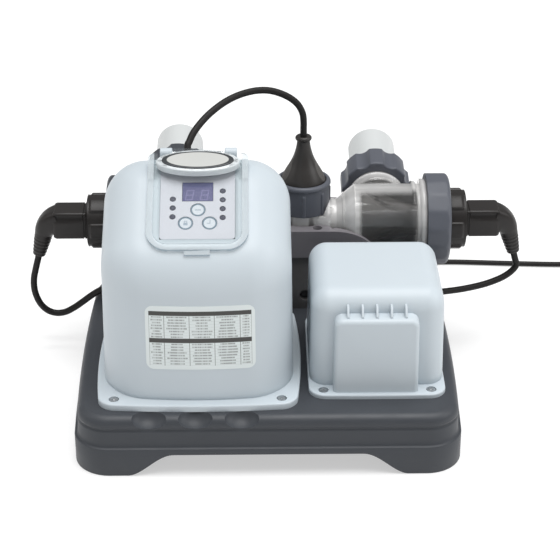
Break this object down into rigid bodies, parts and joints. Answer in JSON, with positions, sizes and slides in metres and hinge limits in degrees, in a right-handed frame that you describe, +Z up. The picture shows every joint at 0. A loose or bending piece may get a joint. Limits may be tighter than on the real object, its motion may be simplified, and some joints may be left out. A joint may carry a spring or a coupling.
{
  "type": "salt chlorine generator",
  "caption": "Pool salt chlorine generator: dark base with a domed control unit, a power supply and a clear flow manifold with electrode cells, a flow sensor and hose unions",
  "frame": {"origin": "on the floor at the centre of the four anchor holes in the base", "axes": "+X to the right along the flow manifold, +Y to the back, +Z up"},
  "size_m": [0.7182, 0.4373, 0.2979],
  "materials": {
    "slate_plastic": "satin dark slate",
    "pale_plastic": "satin pale blue-grey",
    "keypad_plastic": "lilac-white film",
    "display_plastic": "dark violet window",
    "lamp_plastic": "unlit",
    "white_plastic": "satin white",
    "board_plastic": "green circuit board",
    "black_plastic": "glossy black",
    "black_rubber": "matt black",
    "grey_plastic": "satin violet-grey",
    "clear_plastic": "clear, slightly warm",
    "badge_plastic": "bare plate",
    "steel": "zinc plated",
    "core_steel": "lacquered laminations",
    "copper": "copper",
    "electrode_metal": "coated titanium",
    "brass": "plated pins"
  },
  "bodies": {
    "base": {"base_tray": "slate_plastic", "control_housing": "pale_plastic", "keypad_plate": "keypad_plastic", "display_lens": "display_plastic", "indicator_lamps": "lamp_plastic", "control_board": "board_plastic", "display_module": "black_plastic", "tact_switches": "steel", "lid_hinge_pin": "steel", "control_screws": "steel", "power_cover": "pale_plastic", "power_screws": "steel", "transformer_core": "core_steel", "transformer_winding": "copper", "transformer_bracket": "steel", "manifold_cradle": "grey_plastic", "cradle_screws": "steel", "manifold_body": "clear_plastic", "cell_casing": "black_plastic", "electrode_plates": "electrode_metal", "cell_head": "black_plastic", "cell_seal": "black_rubber", "cell_plug": "black_rubber", "ioniser_casing": "black_plastic", "ioniser_rods": "copper", "ioniser_head": "black_plastic", "ioniser_seal": "black_rubber", "ioniser_plug": "black_rubber", "sensor_body": "black_rubber", "sensor_seal": "black_rubber", "paddle_pin": "steel", "right_hose_cuff": "white_plastic", "left_hose_cuff": "white_plastic", "hose_seals": "black_rubber", "cell_gland": "black_plastic", "ioniser_gland": "black_plastic", "sensor_gland": "black_plastic", "mains_gland": "black_rubber", "cell_cable": "black_rubber", "ioniser_cable": "black_rubber", "sensor_cable": "black_rubber", "mains_lead": "black_rubber", "mains_coil": "black_rubber", "mains_tail": "black_rubber", "coil_tie": "grey_plastic", "mains_plug": "black_rubber", "plug_pins": "brass"},
    "lid": {"keypad_lid": "clear_plastic", "lid_badge": "badge_plastic"},
    "boost": {"boost_button": "white_plastic"},
    "lock": {"lock_button": "white_plastic"},
    "timer": {"timer_button": "white_plastic"},
    "right_nut": {"right_hose_nut": "grey_plastic"},
    "left_nut": {"left_hose_nut": "grey_plastic"},
    "cell_nut": {"cell_collar": "grey_plastic"},
    "cell_ring": {"cell_lock_ring": "black_plastic"},
    "ioniser_nut": {"ioniser_collar": "grey_plastic"},
    "ioniser_ring": {"ioniser_lock_ring": "black_plastic"},
    "sensor_nut": {"sensor_collar": "grey_plastic"},
    "paddle": {"flow_paddle": "white_plastic"}
  },
  "joints": [
    {"name": "lid_hinge", "type": "hinge", "parent": "base", "child": "lid", "pos_m": [-0.065, -0.00738, 0.27284], "axis": [-1, 0, 0], "range_deg": [0, 110]},
    {"name": "boost_press", "type": "slide", "parent": "base", "child": "boost", "axis": [0, 0.5299, -0.848], "range_m": [0, 0.0008], "stiffness_N_per_m": 400, "springref_m": -0.0005},
    {"name": "lock_press", "type": "slide", "parent": "base", "child": "lock", "axis": [0, 0.5299, -0.848], "range_m": [0, 0.0008], "stiffness_N_per_m": 400, "springref_m": -0.0005},
    {"name": "timer_press", "type": "slide", "parent": "base", "child": "timer", "axis": [0, 0.5299, -0.848], "range_m": [0, 0.0008], "stiffness_N_per_m": 400, "springref_m": -0.0005},
    {"name": "right_nut_turn", "type": "hinge", "parent": "base", "child": "right_nut", "pos_m": [0.118, 0.103, 0.148], "axis": [0, 0.9914, 0.1305], "continuous": true},
    {"name": "left_nut_turn", "type": "hinge", "parent": "base", "child": "left_nut", "pos_m": [-0.095, 0.103, 0.148], "axis": [0, 0.9914, 0.1305], "continuous": true},
    {"name": "cell_collar_turn", "type": "hinge", "parent": "base", "child": "cell_nut", "pos_m": [0.16, 0.103, 0.148], "axis": [1, 0, 0], "continuous": true},
    {"name": "cell_lock_turn", "type": "hinge", "parent": "base", "child": "cell_ring", "pos_m": [0.2, 0.103, 0.148], "axis": [1, 0, 0], "continuous": true},
    {"name": "ioniser_collar_turn", "type": "hinge", "parent": "base", "child": "ioniser_nut", "pos_m": [-0.1345, 0.103, 0.148], "axis": [1, 0, 0], "continuous": true},
    {"name": "ioniser_lock_turn", "type": "hinge", "parent": "base", "child": "ioniser_ring", "pos_m": [-0.175, 0.103, 0.148], "axis": [1, 0, 0], "continuous": true},
    {"name": "sensor_collar_turn", "type": "hinge", "parent": "base", "child": "sensor_nut", "pos_m": [0.0385, 0.103, 0.17], "axis": [0, 0, 1], "continuous": true},
    {"name": "paddle_swing", "type": "hinge", "parent": "base", "child": "paddle", "pos_m": [0.0385, 0.103, 0.158], "axis": [0, -1, 0], "range_deg": [0, 25], "stiffness_Nm_per_rad": 0.002}
  ]
}
